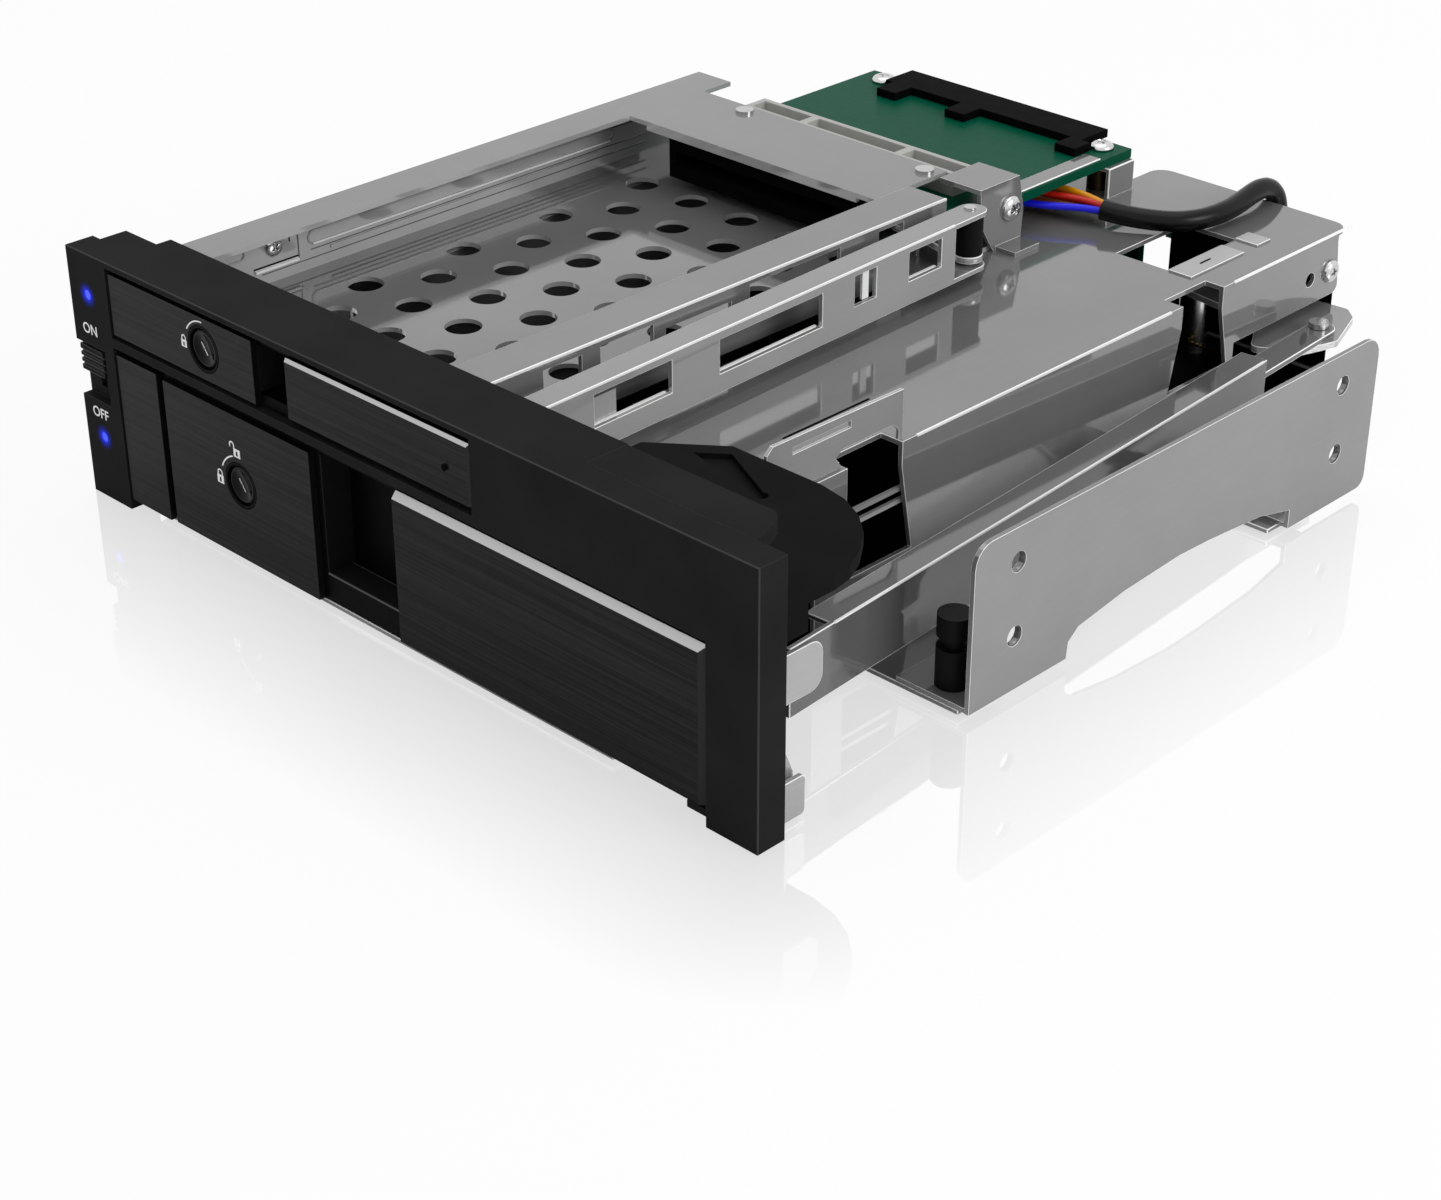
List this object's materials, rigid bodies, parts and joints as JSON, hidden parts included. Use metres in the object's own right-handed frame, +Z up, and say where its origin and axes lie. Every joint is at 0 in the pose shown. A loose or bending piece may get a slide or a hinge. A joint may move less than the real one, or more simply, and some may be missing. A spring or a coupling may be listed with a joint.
{
  "type": "hot swap drive cage",
  "caption": "Hot swap drive cage for a 5.25 inch bay with two hinged doors, key locks, link driven ejector levers and steel bays for one 3.5 inch and one 2.5 inch drive.",
  "frame": {"origin": "Bottom centre of the whole cage: under the middle of its box, on the plane of the bezel's lower edge.", "axes": "+Y runs from the front face to the rear plug, +Z is up, +X is to the right seen from the front."},
  "size_m": [0.148, 0.18, 0.0424],
  "materials": {
    "black_plastic": "fine moulded grain, satin",
    "brushed_black": "black anodised aluminium, brushed along its length",
    "sheet_steel": "bright plated steel sheet, smooth rolled",
    "pin_steel": "polished turned steel",
    "nickel_screw": "nickel plated pan head screws",
    "board_green": "glass fibre board with green solder mask",
    "connector_black": "black moulded connector body",
    "rubber_black": "soft black rubber",
    "pale_plastic": "pale grey moulded plastic",
    "led_blue": "clear lens lit blue",
    "brass_spacer": "turned brass",
    "cable_black": "black sleeve",
    "wire_mixed": "coloured wire insulation",
    "white_print": "white pad printed signs"
  },
  "bodies": {
    "chassis": {"bezel": "black_plastic", "led_lenses": "led_blue", "switch_body": "black_plastic", "bezel_bracket_right": "sheet_steel", "bezel_bracket_left": "sheet_steel", "base_plate": "sheet_steel", "side_plate_right": "sheet_steel", "side_plate_left": "sheet_steel", "rubber_posts": "rubber_black", "large_cage": "sheet_steel", "front_bracket": "sheet_steel", "large_board": "board_green", "large_connector": "connector_black", "small_bay_tray": "sheet_steel", "small_bay_rail": "sheet_steel", "cross_plate": "sheet_steel", "cross_rivets": "pin_steel", "small_connector": "connector_black", "upper_board": "board_green", "board_insulator": "connector_black", "comb_bar": "pale_plastic", "board_leg": "sheet_steel", "board_spacers": "brass_spacer", "board_screws": "nickel_screw", "ground_strip": "sheet_steel", "end_bracket": "sheet_steel", "case_screws": "nickel_screw", "hinge_housing": "black_plastic", "hinge_pins": "pin_steel", "lever_pivots": "pin_steel", "cable_clips": "sheet_steel", "cable_sleeve": "cable_black", "cable_wires": "wire_mixed", "wire_header": "pale_plastic", "rear_plug": "connector_black"},
    "power_switch": {"switch_knob": "black_plastic"},
    "upper_door": {"upper_door_body": "black_plastic", "upper_lock_plate": "brushed_black", "upper_flap_plate": "brushed_black", "upper_lock_collar": "black_plastic", "upper_arm_pin": "pin_steel"},
    "upper_lock": {"upper_lock_barrel": "brushed_black"},
    "upper_bolt": {"upper_latch_bolt": "sheet_steel"},
    "upper_rocker": {"upper_lever": "sheet_steel", "upper_lever_pin": "pin_steel", "upper_roller": "rubber_black"},
    "upper_bar": {"upper_link": "sheet_steel"},
    "lower_door": {"lower_door_body": "black_plastic", "lower_lock_plate": "brushed_black", "lower_flap_plate": "brushed_black", "lower_end_plate": "brushed_black", "lower_lock_collar": "black_plastic", "lower_arm_pin": "pin_steel"},
    "lower_lock": {"lower_lock_barrel": "brushed_black"},
    "lower_bolt": {"lower_latch_bolt": "sheet_steel"},
    "lower_rocker": {"lower_lever": "sheet_steel", "lower_lever_pin": "pin_steel"},
    "lower_bar": {"lower_link": "sheet_steel"}
  },
  "joints": [
    {"name": "switch_slide", "type": "slide", "parent": "chassis", "child": "power_switch", "axis": [0, 0, -1], "range_m": [0, 0.004]},
    {"name": "upper_door_hinge", "type": "hinge", "parent": "chassis", "child": "upper_door", "pos_m": [0.0174, -0.0877, 0.035], "axis": [0, 0, 1], "range_deg": [0, 90]},
    {"name": "upper_bolt_slide", "type": "slide", "parent": "upper_door", "child": "upper_bolt", "axis": [-1, 0, 0], "range_m": [0, 0.0024]},
    {"name": "upper_lock_turn", "type": "hinge", "parent": "upper_door", "child": "upper_lock", "pos_m": [-0.0399, -0.089, 0.0354], "axis": [0, -1, 0], "range_deg": [0, 90.2]},
    {"name": "upper_lever_turn", "type": "hinge", "parent": "chassis", "child": "upper_rocker", "pos_m": [-0.0035, 0.0275, 0.035], "axis": [0, 0, -1], "range_deg": [0, 20.93]},
    {"name": "upper_link_turn", "type": "hinge", "parent": "upper_rocker", "child": "upper_bar", "pos_m": [0.0124, 0.0234, 0.035], "axis": [0, 0, 1], "range_deg": [0, 20.98]},
    {"name": "lower_door_hinge", "type": "hinge", "parent": "chassis", "child": "lower_door", "pos_m": [0.0618, -0.0877, 0.015], "axis": [0, 0, 1], "range_deg": [0, 90]},
    {"name": "lower_bolt_slide", "type": "slide", "parent": "lower_door", "child": "lower_bolt", "axis": [-1, 0, 0], "range_m": [0, 0.0024]},
    {"name": "lower_lock_turn", "type": "hinge", "parent": "lower_door", "child": "lower_lock", "pos_m": [-0.0336, -0.089, 0.015], "axis": [0, -1, 0], "range_deg": [0, 90.2]},
    {"name": "lower_lever_turn", "type": "hinge", "parent": "chassis", "child": "lower_rocker", "pos_m": [0.022, 0.075, 0.015], "axis": [0, 0, -1], "range_deg": [0, 13.36]},
    {"name": "lower_link_turn", "type": "hinge", "parent": "lower_rocker", "child": "lower_bar", "pos_m": [0.0504, 0.07, 0.015], "axis": [0, 0, 1], "range_deg": [0, 12.84]}
  ],
  "couplings": [
    {"joint": "upper_lock_turn", "follows": "upper_bolt_slide", "rad_per_m": 655},
    {"joint": "upper_lever_turn", "follows": "upper_door_hinge", "ratio": 0.23228},
    {"joint": "upper_link_turn", "follows": "upper_door_hinge", "ratio": 0.22944},
    {"joint": "lower_lock_turn", "follows": "lower_bolt_slide", "rad_per_m": 655},
    {"joint": "lower_lever_turn", "follows": "lower_door_hinge", "ratio": 0.14822},
    {"joint": "lower_link_turn", "follows": "lower_door_hinge", "ratio": 0.14034}
  ]
}
